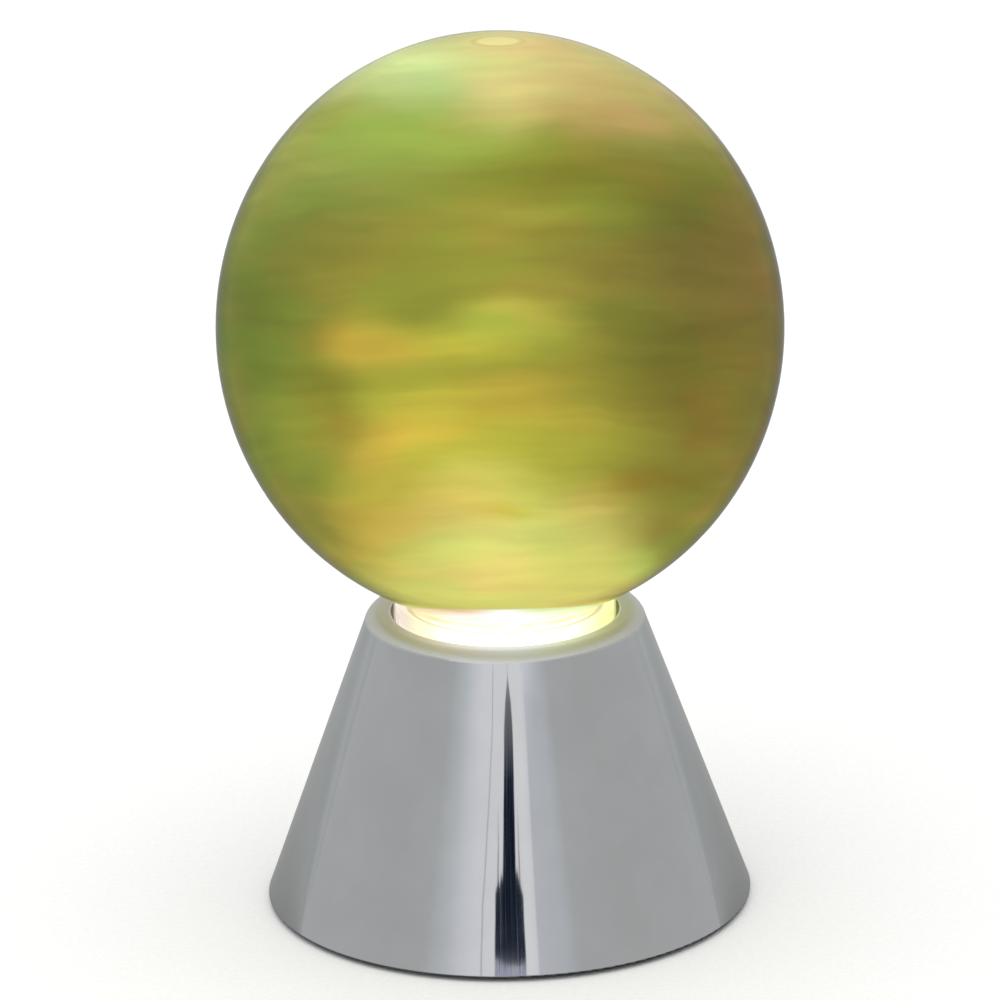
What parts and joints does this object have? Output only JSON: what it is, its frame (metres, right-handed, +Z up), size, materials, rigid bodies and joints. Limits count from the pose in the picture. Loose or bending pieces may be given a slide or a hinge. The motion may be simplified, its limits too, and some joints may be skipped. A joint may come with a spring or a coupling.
{
  "type": "table lamp",
  "caption": "Table lamp with a liquid-filled glass globe turning on a clear lit turntable in the mouth of a chromed cone base.",
  "frame": {"origin": "centre of the footprint on the table", "axes": "+Z up along the globe's axis, front towards -Y, switch and power socket on the rear, +Y"},
  "size_m": [0.15, 0.15, 0.2378],
  "materials": {
    "globe_glass": "clear blown glass, polished",
    "pearl_liquid": "pearlescent liquid lit from below",
    "stopper_rubber": "translucent moulded rubber",
    "chromed_shell": "mirror-bright chrome plating",
    "black_plastic": "moulded, fine matte grain",
    "white_plastic": "moulded, plain white",
    "reflector_chrome": "bright plated reflector",
    "board_green": "glass-fibre board with green solder mask",
    "capacitor_sleeve": "shrunk film sleeve",
    "terminal_plastic": "moulded green",
    "motor_steel": "zinc-plated pressed can",
    "steel": "plain bright steel",
    "acetal": "natural off-white",
    "clear_acrylic": "clear moulded, lit from below",
    "clear_silicone": "soft translucent",
    "foot_rubber": "soft matte",
    "switch_black": "moulded, satin top",
    "lens_red": "clear tinted lens",
    "lens_green": "clear tinted lens",
    "lens_blue": "clear tinted lens",
    "lens_amber": "clear tinted lens"
  },
  "bodies": {
    "base": {"cone_shell": "chromed_shell", "bottom_cover": "black_plastic", "rubber_foot_1": "foot_rubber", "rubber_foot_2": "foot_rubber", "rubber_foot_3": "foot_rubber", "rubber_foot_4": "foot_rubber", "cover_screw_1": "steel", "cover_screw_2": "steel", "cover_screw_3": "steel", "cover_screw_4": "steel", "bearing_deck": "white_plastic", "deck_screw_1": "steel", "deck_screw_2": "steel", "deck_screw_3": "steel", "lamp_post": "white_plastic", "lamp_board": "board_green", "lamp_red": "lens_red", "lamp_green": "lens_green", "lamp_blue": "lens_blue", "lamp_amber": "lens_amber", "reflector_cup": "reflector_chrome", "gear_motor": "motor_steel", "motor_screw_1": "steel", "motor_screw_2": "steel", "driver_board": "board_green", "driver_capacitor": "capacitor_sleeve", "terminal_block": "terminal_plastic", "power_jack": "black_plastic", "jack_nut": "steel", "switch_body": "black_plastic", "switch_nut": "steel"},
    "turntable": {"turntable": "clear_acrylic", "seat_gasket": "clear_silicone", "drive_wheel": "acetal", "wheel_clip": "steel"},
    "cage": {"ball_cage": "acetal", "bearing_ball_1": "steel", "bearing_ball_2": "steel", "bearing_ball_3": "steel", "bearing_ball_4": "steel", "bearing_ball_5": "steel", "bearing_ball_6": "steel", "bearing_ball_7": "steel", "bearing_ball_8": "steel"},
    "pinion": {"drive_pinion": "acetal", "motor_shaft": "steel"},
    "button": {"switch_button": "switch_black"},
    "globe": {"glass_globe": "globe_glass", "pearl_liquid": "pearl_liquid", "globe_stopper": "stopper_rubber"}
  },
  "joints": [
    {"name": "turntable_spin", "type": "hinge", "parent": "base", "child": "turntable", "pos_m": [0, 0, 0.0755], "axis": [0, 0, 1], "continuous": true},
    {"name": "cage_spin", "type": "hinge", "parent": "base", "child": "cage", "pos_m": [0, 0, 0.07475], "axis": [0, 0, 1], "continuous": true},
    {"name": "pinion_spin", "type": "hinge", "parent": "base", "child": "pinion", "pos_m": [0.03, 0, 0.0625], "axis": [0, 0, 1], "continuous": true},
    {"name": "button_press", "type": "slide", "parent": "base", "child": "button", "axis": [-0.3217, -0.8838, -0.3399], "range_m": [0, 0.002], "stiffness_N_per_m": 600},
    {"name": "globe_lift", "type": "slide", "parent": "turntable", "child": "globe", "axis": [0, 0, 1], "range_m": [0, 0.06]}
  ],
  "couplings": [
    {"joint": "cage_spin", "follows": "turntable_spin", "ratio": 0.5},
    {"joint": "pinion_spin", "follows": "turntable_spin", "ratio": -3}
  ]
}
